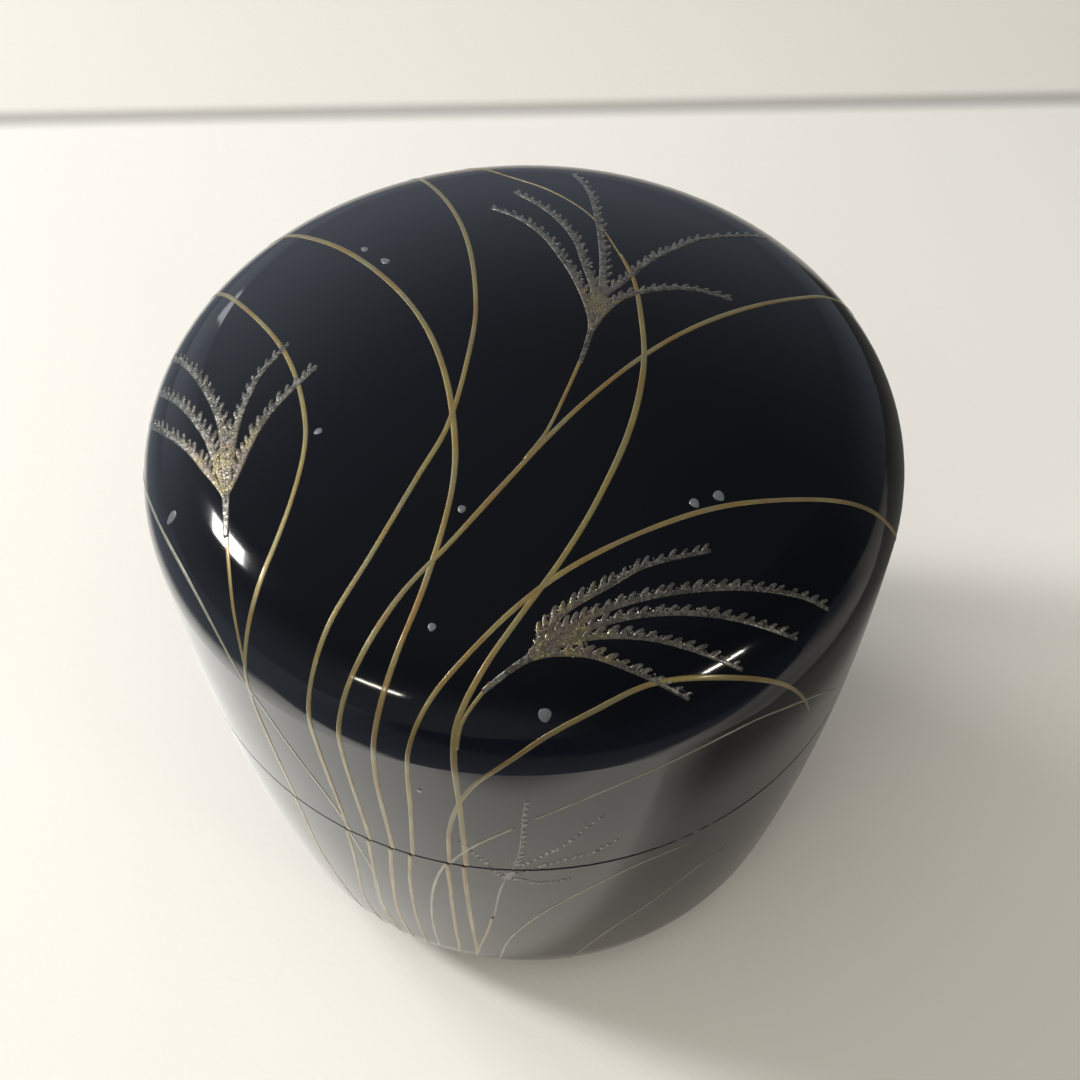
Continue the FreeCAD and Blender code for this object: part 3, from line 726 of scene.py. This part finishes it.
class CaddyStage(bpy.types.PropertyGroup):
    """Camera, table and light."""

    eye: setting(PLACE, "Eye", "Where the camera stands", (0, -0.0871, 0.1538))
    aim: setting(PLACE, "Aim", "What the camera points at", (0.0013, 0, 0.0397))
    roll: setting(ANGLE, "Roll", "How far the camera leans", math.radians(-0.59))
    lens: setting(LENS, "Lens", "Focal length on a 36 mm sensor", 50)
    table: setting(COLOUR, "Table", "Card that the caddy stands on", (0.86, 0.845, 0.805))
    back: setting(COLOUR, "Back", "Card behind the table's edge", (0.8, 0.78, 0.73))
    reach: setting(LENGTH, "Reach", "How far the cards reach from the caddy", 0.55)
    table_edge: setting(LENGTH, "Table edge", "Where the table ends behind the caddy", 0.12)
    joint_width: setting(LENGTH, "Joint", "Width of the shaded joint behind the caddy", 7 * MM)
    key_power: setting(POWER, "Key lamp", "Power of the key lamp", 2.35)
    soft_power: setting(POWER, "Soft lamp", "Power of the soft lamp", 0.9)
    fill_power: setting(POWER, "Fill lamp", "Power of the fill lamp", 2.4)
    glint_left_power: setting(POWER, "Left glint", "Power of the lamp for the left glint", 0.22)
    glint_right_power: setting(POWER, "Right glint", "Power of the lamp for the right glint", 0.3)
    glint_back_power: setting(POWER, "Back glint", "Power of the lamp for the back glint", 0.03)
    room: setting(COLOUR, "Room", "Tint of the room's own light", (0.86, 0.96, 1.12))


def coat(node, material):
    """Gives a CAD node a finish."""
    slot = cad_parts[node].material_slots[0]
    slot.link = "OBJECT"
    slot.material = material


# How much rougher and more marked the inside and the foot are than the polished outside.
INSIDE_ROUGHER, INSIDE_MARKS = 2.5, 2.0
FOOT_ROUGHER, FOOT_MARKS = 4, 3.0


class CADDY_OT_lacquer(bpy.types.Operator):
    """Finish the coats and the cores of the lid and the body"""

    bl_idname = "caddy.lacquer"
    bl_label = "Lacquer"

    def execute(self, context):
        look = context.scene.caddy_finish
        black = lacquer_finish("black_lacquer", look.black, look.gloss, 1.0, handled=True)
        inside = lacquer_finish("inside_lacquer", look.inside, look.gloss * INSIDE_ROUGHER, INSIDE_MARKS)
        foot = lacquer_finish("foot_lacquer", look.inside, look.gloss * FOOT_ROUGHER, FOOT_MARKS)
        wood = wood_finish("turned_wood", look.wood)
        for part in ("lid", "body"):
            coat(f"{part}_outer_lacquer", black)
            coat(f"{part}_inner_lacquer", inside)
            coat(f"{part}_core", wood)
        coat("base_lacquer", foot)
        return {"FINISHED"}


# A brushed blade: how bluntly its tip opens, its share of the width at the root, the length over which it
# swells or narrows, and how much further than the one before it each blade stands out.
TIP_BLUNTNESS = 0.7
ROOT_SHARE = 0.78
SWELL_LENGTH = 4 * MM
LAYER_RISE = 0.02


class CADDY_OT_blades(bpy.types.Operator):
    """Draw the gold blades and stems of the grass"""

    bl_idname = "caddy.blades"
    bl_label = "Gold blades"

    def execute(self, context):
        sizes = context.scene.caddy_drawing
        look = context.scene.caddy_finish
        gold = powder_finish("gold_powder", look.gold, look.gold_deep, look.gold_pale, GOLD_POWDER)
        pale = powder_finish("pale_gold", look.thin_gold, look.gold_pale, look.gold_pale, PALE_GOLD_POWDER)
        rng = random.Random(sizes.seed)
        for number, blade in enumerate(BLADES):
            line = smooth_line(blade.route, sizes.step)
            widths = self.half_widths(blade, line, sizes, rng)
            relief = sizes.relief * (1 + LAYER_RISE * number)
            for body, run in parted_at_seam(line, sizes.seam_margin):
                turn = turn_on(body, sizes)
                known = [widths.get(tuple(flat)) for flat in run]
                # An end that was cut at the seam is as wide as the point next to it.
                known[0] = known[0] or known[1]
                known[-1] = known[-1] or known[-2]
                mesh = bmesh.new()
                strand(mesh, [skin.seat(flat, turn) for flat in run], known, relief, sizes.sink)
                show(f"{blade.name}_{body}", mesh, pale if blade.pale else gold, body)
        return {"FINISHED"}

    def half_widths(self, blade, line, sizes, rng):
        """Half the width of a brushed line at each of its points."""
        walked = distances(line)
        swell = [rng.uniform(-1, 1) for _ in range(int(walked[-1] / SWELL_LENGTH) + 3)]
        widths = {}
        for flat, at in zip(line, walked):
            tip = min(1.0, at / sizes.tip_length) ** TIP_BLUNTNESS
            root = min(1.0, (walked[-1] - at) / sizes.root_length)
            i, share = divmod(at / SWELL_LENGTH, 1)
            uneven = swell[int(i)] * (1 - share) + swell[int(i) + 1] * share
            narrow = (blade.tip + (1 - blade.tip) * tip) * (ROOT_SHARE + (1 - ROOT_SHARE) * root)
            widths[tuple(flat)] = blade.width * MM / 2 * narrow * (1 + sizes.unevenness * uneven)
        return widths


# A plume's spine: its share of the width at the neck, the part of the flare at which it starts to open,
# and how much and how bluntly it tapers to its tip.
NECK_SHARE, OPENS_FROM, SPINE_TAPER, SPINE_BLUNTNESS = 0.4, 0.25, 0.5, 0.6

# Its hairs: their share on a plume without strength, the first one's place as a part of the flare, how
# much they shorten to the tip, how much closer they stand in the fan, and how they differ.
WEAK_HAIR, FIRST_HAIR, HAIR_TAPER, FAN_CROWDING, HAIR_CHANCE = 0.4, 0.75, 0.35, 0.8, (0.85, 1.15)

# Its coarse grains on each step: in the fan, along a spike, and on the spike's tip, which is past a share
# of it. Then how far they lie from the spine, as shares of a hair, and their sizes.
FAN_GRAINS, SPIKE_GRAINS, TIP_GRAINS, TIP_FROM = 11, 5, 2, 0.75
FAN_REACH, SPIKE_REACH, REACH_TAPER = 1.1, 0.85, 0.5
GRAIN_SPREAD, GRAIN_SIZES = (-0.25, 1, 0.2), (0.55, 1.15)

# Its stem: the share of the width at the foot, what it gains up to the neck and in the flare over it, and
# how far up the flare is widest.
STEM_FOOT, STEM_GAIN, FLARE_GAIN, FLARE_RISE = 0.7, 0.2, 1.2, 1.6

# How far spines, hairs and grains stand out, as shares of the relief.
SPINE_RISE, HAIR_RISE, GRAIN_RISE = 1.4, 1.3, (1.3, 2.1)


class PlumeBrush:
    """Draws one plume, into one mesh for each body that carries a part of it."""

    def __init__(self, plume, sizes, rng):
        self.plume = plume
        self.sizes = sizes
        self.rng = rng
        self.stem = smooth_line(plume.stem, sizes.step / 2)
        self.hair = sizes.hair_length * (WEAK_HAIR + (1 - WEAK_HAIR) * plume.strength)
        self.meshes = {}

    def draw_spikes(self):
        """Every spike from the neck to its tip, with grains on both sides of the inner ones."""
        last = len(self.plume.spikes) - 1
        for number, (hand, spike) in enumerate(self.plume.spikes):
            sides = (LEFT, RIGHT) if 0 < number < last else (hand,)
            line = smooth_line((*self.plume.stem, *spike), self.sizes.step / 2)[len(self.stem) - 1:]
            for body, run in parted_at_seam(line, self.sizes.seam_margin):
                if body not in self.meshes:
                    self.meshes[body] = bmesh.new()
                self.draw_spike(body, run, line, hand, sides)

    def draw_spike(self, body, run, line, hand, sides):
        """One spike: its spine, a row of leaning hairs on one side, and coarse grains along it."""
        sizes, rng, strength, mesh = self.sizes, self.rng, self.plume.strength, self.meshes[body]
        turn = turn_on(body, sizes)
        spots = [skin.seat(flat, turn) for flat in run]
        whole = distances(line)[-1]
        gone = distances(run, (run[0] - line[0]).length)
        shares = [min(1.0, length / whole) for length in gone]
        opened = [min(1.0, max(0.0, length / sizes.flare - OPENS_FROM)) for length in gone]
        half = sizes.spike_width / 2 * strength ** 2 * self.plume.breadth
        widths = []
        for share, wide in zip(shares, opened):
            taper = 1 - SPINE_TAPER * share ** SPINE_BLUNTNESS
            widths.append(half * taper * (NECK_SHARE + (1 - NECK_SHARE) * wide))
        strand(mesh, spots, widths, sizes.relief * SPINE_RISE, sizes.sink)
        next_hair = max(gone[0] + sizes.hair_spacing, FIRST_HAIR * sizes.flare * strength)
        for i in range(1, len(spots) - 1):
            spot, share = spots[i], shares[i]
            along = (spots[i + 1].place - spots[i - 1].place).normalized()
            in_fan = gone[i] < sizes.fan_length
            if gone[i] >= next_hair:
                spacing = sizes.hair_spacing * (FAN_CROWDING if in_fan else 1.0)
                next_hair += spacing * rng.uniform(*HAIR_CHANCE)
                length = self.hair * (1 - HAIR_TAPER * share) * rng.uniform(*HAIR_CHANCE)
                self.draw_hair(body, hair_spots(spot, along, hand, length, turn), length)
            grains = FAN_GRAINS if in_fan else SPIKE_GRAINS if share < TIP_FROM else TIP_GRAINS
            reach = self.hair * (FAN_REACH if in_fan else SPIKE_REACH - REACH_TAPER * share) * opened[i]
            for _ in range(round(strength * grains)):
                side = rng.choice(sides) if in_fan else hand
                self.add_grain(body, spot, along * sizes.step, side * reach, turn)

    def draw_hair(self, body, leaning, length):
        """One hair, left out where it would reach over the seam."""
        sizes = self.sizes
        if all(skin.carries(body, spot.flat, sizes.seam_margin) for spot in leaning):
            halves = [half * length for _, _, half in HAIR]
            strand(self.meshes[body], leaning, halves, sizes.relief * HAIR_RISE, sizes.sink)

    def add_grain(self, body, spot, along, reach, turn):
        """A coarse grain on the spine or between the hairs beside it."""
        sizes, rng = self.sizes, self.rng
        out = spot.normal.cross(along).normalized() * reach * rng.triangular(*GRAIN_SPREAD)
        seat = skin.beside(spot, out + along * rng.uniform(-0.5, 0.5), turn)
        if skin.carries(body, seat.flat, 2 * sizes.seam_margin):
            size = sizes.grain * rng.uniform(*GRAIN_SIZES)
            relief = sizes.relief * rng.uniform(*GRAIN_RISE)
            crystal(self.meshes[body], seat, size, relief, sizes.sink / 3, rng)

    def draw_stem(self):
        """The stem, which flares into the fan over the neck along the middle spike."""
        sizes, plume, below_neck = self.sizes, self.plume, len(self.stem)
        body = skin.body_at(self.stem[0])
        turn = turn_on(body, sizes)
        middle = plume.spikes[len(plume.spikes) // 2][1]
        flared = round(sizes.flare / sizes.step * 2)
        rising = smooth_line((*plume.stem, *middle), sizes.step / 2)[:below_neck + flared]
        rising = [flat for flat in rising if skin.carries(body, flat, sizes.seam_margin)]
        half = sizes.spike_width / 2 * plume.strength
        widths = []
        for i in range(len(rising)):
            over_neck = max(0, i - below_neck) / max(1, len(rising) - 1 - below_neck)
            flare = math.sin(math.pi * over_neck ** FLARE_RISE)
            gain = STEM_GAIN * min(1, i / below_neck) ** 2
            widths.append(half * (STEM_FOOT + gain + FLARE_GAIN * flare))
        spots = [skin.seat(flat, turn) for flat in rising]
        strand(self.meshes[body], spots, widths, sizes.relief * HAIR_RISE, sizes.sink)

    def mark_fan(self):
        """Notes on every vertex how far over the neck it lies, which the silver's finish reads."""
        turn = turn_on(skin.body_at(self.stem[0]), self.sizes)
        below, neck = (skin.seat(flat, turn).place for flat in self.stem[-2:])
        for mesh in self.meshes.values():
            from_neck = mesh.verts.layers.float.new("from_neck")
            for vertex in mesh.verts:
                off = vertex.co - neck
                vertex[from_neck] = off.length if off.dot(neck - below) > 0 else 0.0


class CADDY_OT_plumes(bpy.types.Operator):
    """Draw the silver plumes of the grass"""

    bl_idname = "caddy.plumes"
    bl_label = "Silver plumes"

    def execute(self, context):
        sizes = context.scene.caddy_drawing
        look = context.scene.caddy_finish
        fan = sizes.fan_length
        silver = silver_finish("silver_powder", look.silver, look.silver_deep, look.silver_warm, fan)
        # The thin front plume's silver is painted paler, as painted light that makes up for the shade on
        # the front.
        shadow = darker(look.faint_painted_light, 0.6)
        faint_painted_light = powder_finish("faint_silver", look.faint_painted_light, shadow, look.faint_painted_light, FAINT_SILVER_POWDER)
        rng = random.Random(sizes.seed + 1)
        for plume in PLUMES:
            brush = PlumeBrush(plume, sizes, rng)
            brush.draw_spikes()
            brush.draw_stem()
            brush.mark_fan()
            for body, mesh in brush.meshes.items():
                show(f"{plume.name}_{body}", mesh, faint_painted_light if plume.faint_painted_light else silver, body)
        return {"FINISHED"}


# A drop's mesh: corners round it, its rings from the rim inwards as shares of its half width, how far it
# stands over the relief of the blades, and how pointed its upper end is.
DROP_CORNERS = 20
DROP_RINGS = (1.0, 0.92, 0.75, 0.5, 0.25)
DROP_RISE = 1.6
DROP_POINT = 0.25


class CADDY_OT_dew(bpy.types.Operator):
    """Set the drops of dew"""

    bl_idname = "caddy.dew"
    bl_label = "Dew"

    def execute(self, context):
        sizes = context.scene.caddy_drawing
        mesh = bmesh.new()
        for middle, half, stretch in DROPS:
            self.add_drop(mesh, skin.seat(Vector(middle) * MM), half * MM, stretch, sizes)
        show("dew_lid", mesh, dew_finish("dew", context.scene.caddy_finish.dew), "lid")
        return {"FINISHED"}

    def add_drop(self, mesh, spot, half, stretch, sizes):
        """A low dome on the skin, closed under it."""
        top_rise = sizes.relief * DROP_RISE
        rings = []
        for level in DROP_RINGS:
            rise = -sizes.sink if level == 1 else top_rise * math.sqrt(1 - level * level)
            ring = []
            for i in range(DROP_CORNERS):
                angle = math.tau * i / DROP_CORNERS
                cos, sin = math.cos(angle), math.sin(angle)
                out = Vector((cos * stretch, sin * (1 - DROP_POINT * cos)))
                seat = skin.beside(spot, (spot.downhill * out.x + spot.around * out.y) * half * level)
                ring.append(mesh.verts.new(seat.place + seat.normal * rise))
            rings.append(ring)
        top = mesh.verts.new(spot.place + spot.normal * top_rise)
        for ring, inner in zip(rings, rings[1:]):
            for i in range(DROP_CORNERS):
                j = (i + 1) % DROP_CORNERS
                mesh.faces.new((ring[i], ring[j], inner[j], inner[i])).smooth = True
        for i in range(DROP_CORNERS):
            mesh.faces.new((rings[-1][i], rings[-1][(i + 1) % DROP_CORNERS], top)).smooth = True
        mesh.faces.new(reversed(rings[0]))


def toward(bearing, elevation):
    """Direction from the caddy, by its degrees from the front to the right and over the horizon."""
    b, e = math.radians(bearing), math.radians(elevation)
    return Vector((math.sin(b) * math.cos(e), -math.cos(b) * math.cos(e), math.sin(e)))


class Lamp(NamedTuple):
    """A soft lamp: where it stands, its two sides, its tint and tilt, and whether reflections show it."""

    name: str
    bearing: float
    elevation: float
    sides: tuple
    tint: tuple
    tilt: float = 0.0
    mirrored: bool = True


DAYLIGHT = (1.0, 0.99, 0.975)
LAMP_AIM = Vector((0, 0, 0.055))
LAMP_DISTANCE = 0.6

LAMPS = (
    Lamp("key", -104, 38.5, (0.1, 0.1), DAYLIGHT, tilt=50),
    Lamp("soft", -125, 40, (0.15, 0.15), DAYLIGHT, mirrored=False),
    Lamp("fill", -14, 64, (0.7, 0.7), (1.0, 0.93, 0.8), mirrored=False),
    Lamp("glint_left", -38.5, 24, (0.12, 0.018), (1.0, 0.95, 0.85)),
    Lamp("glint_right", 50, 21, (0.11, 0.016), (1.0, 0.94, 0.84)),
    Lamp("glint_back", -147, 15, (0.05, 0.08), (0.95, 0.98, 1.0)),
)

# The painted reflection card's dark parts, which paint dark reflections of the room, in metres from the
# caddy's axis.
DARK_LEFT = Edge((-1, 0, 0), 0.075, 0.105)
DARK_FRONT_LEFT = Edge((-0.543, -0.84, 0), 0.086, 0.106)
DARK_FRONT = Edge((-0.08, -1, 0), 0.056, 0.064)
DARK_RIGHT = Edge((1, 0, 0), 0.09, 0.25)
DARK_RIGHT_FRONT = Edge((0, -1, 0), -0.02, 0.04)
DEEP_FRONT = Edge((0.495, -0.869, 0), 0.1, 0.13)
LIGHTER_LEFT = Edge((-1, 0.6, 0), -0.06, 0.16)

# The caddy's own shadow, painted on the card for the reflections, and the painted bright reflection of the
# card at its left.
SHADOW_EDGE = Edge((0.54, 0.84, 0), -0.0262, -0.0235)
SHADOW_CORE = Edge((0.54, 0.84, 0), -0.026, -0.01)
SHADOW_RIGHT = Edge((1, -0.5, 0), 0.01, 0.04)
SHADOW_END = Edge((0.495, -0.869, 0), 0.055, 0.061)
SHADOW_NEAR, SHADOW_FAR = 0.045, 0.056
BRIGHT_LEFT = Edge((-1, 0, 0), 0, 0.06)
BRIGHT_FRONT = Edge((0, -1, 0), -0.04, 0)

# The light that each part of the card gives off, which paints the reflections, and the strength of two of
# the parts.
PAINTED_DARK, PAINTED_DEEP, PAINTED_LIGHTER = (0.12, 0.135, 0.165), (0.04, 0.055, 0.085), (0.3, 0.34, 0.4)
PAINTED_SHADOW, PAINTED_BRIGHT = (0.05, 0.05, 0.045), (1.6, 1.6, 1.52)
RIGHT_SHARE, BRIGHT_SHARE = 0.8, 0.66

# The room's brighter sides.
BACK_LIGHT = Edge(tuple(toward(-170, 0)), -0.2, 1.0)
FRONT_LIGHT = Edge(tuple(toward(-40, 0)), 0.5, 0.85)
WINDOW = toward(-140, 15)

TABLE_GAP, PAINTED_REFLECTION_GAP = 0.02 * MM, 0.01 * MM
SENSOR = 36
NEAREST_SEEN = 10 * MM


def add_lamp(lamp, power):
    """A soft area lamp that faces the lid."""
    data = bpy.data.lights.new(lamp.name, "AREA")
    data.shape = "RECTANGLE"
    data.size, data.size_y = lamp.sides
    data.energy = power
    data.color = lamp.tint
    stand = bpy.data.objects.new(lamp.name, data)
    away = toward(lamp.bearing, lamp.elevation)
    stand.location = LAMP_AIM + away * LAMP_DISTANCE
    stand.rotation_mode = "QUATERNION"
    tilt = Quaternion((0, 0, 1), math.radians(lamp.tilt))
    stand.rotation_quaternion = away.to_track_quat("Z", "Y") @ tilt
    stand.visible_glossy = lamp.mirrored
    bpy.context.scene.collection.objects.link(stand)


def add_card(name, reach, front, back, height, material):
    """A flat card of the stage."""
    data = bpy.data.meshes.new(name)
    sides = ((-reach, front), (reach, front), (reach, back), (-reach, back))
    corners = [(x, y, height) for x, y in sides]
    data.from_pydata(corners, [], [range(len(corners))])
    data.materials.append(material)
    card = bpy.data.objects.new(name, data)
    bpy.context.scene.collection.objects.link(card)
    return card


class CADDY_OT_stage(bpy.types.Operator):
    """Set up the table, the light and the camera"""

    bl_idname = "caddy.stage"
    bl_label = "Stage"

    def execute(self, context):
        scene = context.scene
        sizes = scene.caddy_stage
        reach, edge, half = sizes.reach, sizes.table_edge, sizes.joint_width / 2
        level = CAD_LOW.z - TABLE_GAP
        add_card("table", reach, -reach, edge, level, card_finish("table_card", sizes.table, edge, half))
        add_card("back", reach, edge, reach, level, card_finish("back_card", sizes.back, edge, half))
        self.add_painted_reflections(reach, level + PAINTED_REFLECTION_GAP)
        for lamp in LAMPS:
            add_lamp(lamp, getattr(sizes, f"{lamp.name}_power"))
        self.light_room(scene, sizes)
        self.set_camera(scene, sizes)
        scene.view_settings.view_transform = "Standard"
        return {"FINISHED"}

    def add_painted_reflections(self, reach, height):
        """A glowing card over the table that only reflections see, which paints them: painted dark
        reflections further off in front and at both sides, a painted bright reflection close to the caddy
        at its left, and a painted shadow at its right."""
        material, place = finish("flag_card")
        dark = place.past(DARK_RIGHT) * place.past(DARK_RIGHT_FRONT) * RIGHT_SHARE
        for edge in (DARK_LEFT, DARK_FRONT_LEFT, DARK_FRONT):
            dark = dark.math("MAXIMUM", dark, place.past(edge))
        darkness = place.past(DEEP_FRONT).mix(place.glow(PAINTED_DARK), place.glow(PAINTED_DEEP))
        darkness = place.past(LIGHTER_LEFT).mix(darkness, place.glow(PAINTED_LIGHTER))
        beside = place.past(SHADOW_EDGE) * (0.45 + place.past(SHADOW_CORE) * 0.55)
        beside = beside * place.past(SHADOW_RIGHT)
        from_axis = place.vector("LENGTH", output="Value").between(SHADOW_NEAR, SHADOW_FAR)
        shaded = beside * (0.42 + (1 - place.past(SHADOW_END)) * from_axis * 0.48)
        bright = place.past(BRIGHT_LEFT) * place.past(BRIGHT_FRONT) * (1 - dark) * BRIGHT_SHARE
        # A painted shadow in the reflections at the caddy's right, and over all a painted bright reflection
        # at its left.
        seen = shaded.mix(place.node("ShaderNodeBsdfTransparent"), place.glow(PAINTED_SHADOW))
        seen = bright.mix(dark.mix(seen, darkness), place.glow(PAINTED_BRIGHT))
        place.node("ShaderNodeOutputMaterial", None, {"Surface": seen})
        flag = add_card("flag", reach, -reach, reach, height, material)
        flag.visible_camera = False
        flag.visible_diffuse = False
        flag.visible_shadow = False
        flag.visible_transmission = False

    def light_room(self, scene, sizes):
        """A dim room with a bright side at the back left."""
        scene.world = bpy.data.worlds.new("room")
        scene.world.use_nodes = True
        scene.world.node_tree.nodes.clear()
        way = Wire(scene.world.node_tree).node("ShaderNodeTexCoord", output="Generated")
        facing = way.along(WINDOW) * 0.5 + 0.5
        low = 1 - abs(way.height()).between(0.1, 0.8)
        walls = way.past(BACK_LIGHT) * 0.26 + way.past(FRONT_LIGHT) * 0.16 + 0.02
        level = 0.02 + facing ** 3 * 0.15 + facing ** 24 * 0.3 + low * walls
        glow = way.node("ShaderNodeBackground", None, {"Color": level.blend((0, 0, 0), sizes.room)})
        way.node("ShaderNodeOutputWorld", None, {"Surface": glow})

    def set_camera(self, scene, sizes):
        """The camera, at the photograph's place."""
        data = bpy.data.cameras.new("camera")
        data.lens = sizes.lens
        data.sensor_width = SENSOR
        data.clip_start = NEAREST_SEEN
        camera = bpy.data.objects.new("camera", data)
        camera.location = sizes.eye
        back = Vector(sizes.eye) - Vector(sizes.aim)
        camera.rotation_mode = "QUATERNION"
        camera.rotation_quaternion = back.to_track_quat("Z", "Y") @ Quaternion((0, 0, 1), sizes.roll)
        scene.collection.objects.link(camera)
        scene.camera = camera


OPERATORS = (CADDY_OT_lacquer, CADDY_OT_blades, CADDY_OT_plumes, CADDY_OT_dew, CADDY_OT_stage)
GROUPS = {"caddy_drawing": CaddyDrawing, "caddy_finish": CaddyFinish, "caddy_stage": CaddyStage}


class CADDY_PT_panel(bpy.types.Panel):
    """The caddy's pieces and their sizes and colours"""

    bl_idname = "CADDY_PT_panel"
    bl_label = "Tea caddy"
    bl_space_type = "VIEW_3D"
    bl_region_type = "UI"
    bl_category = "Caddy"

    def draw(self, context):
        for operator in OPERATORS:
            self.layout.operator(operator.bl_idname)
        for name, group in GROUPS.items():
            box = self.layout.box()
            for prop in group.__annotations__:
                box.prop(getattr(context.scene, name), prop)


def register():
    """Registers the property groups, the operators and the panel."""
    for group in GROUPS.values():
        bpy.utils.register_class(group)
    for name, group in GROUPS.items():
        setattr(bpy.types.Scene, name, PointerProperty(type=group))
    for kind in (*OPERATORS, CADDY_PT_panel):
        bpy.utils.register_class(kind)


def unregister():
    """Takes back what register did."""
    for kind in reversed((*OPERATORS, CADDY_PT_panel)):
        bpy.utils.unregister_class(kind)
    for name in GROUPS:
        delattr(bpy.types.Scene, name)
    for group in reversed(list(GROUPS.values())):
        bpy.utils.unregister_class(group)


def main():
    """Registers the add-on and builds every piece in order."""
    register()
    bpy.ops.caddy.lacquer()
    bpy.ops.caddy.blades()
    bpy.ops.caddy.plumes()
    bpy.ops.caddy.dew()
    bpy.ops.caddy.stage()


if __name__ == "__main__":
    main()
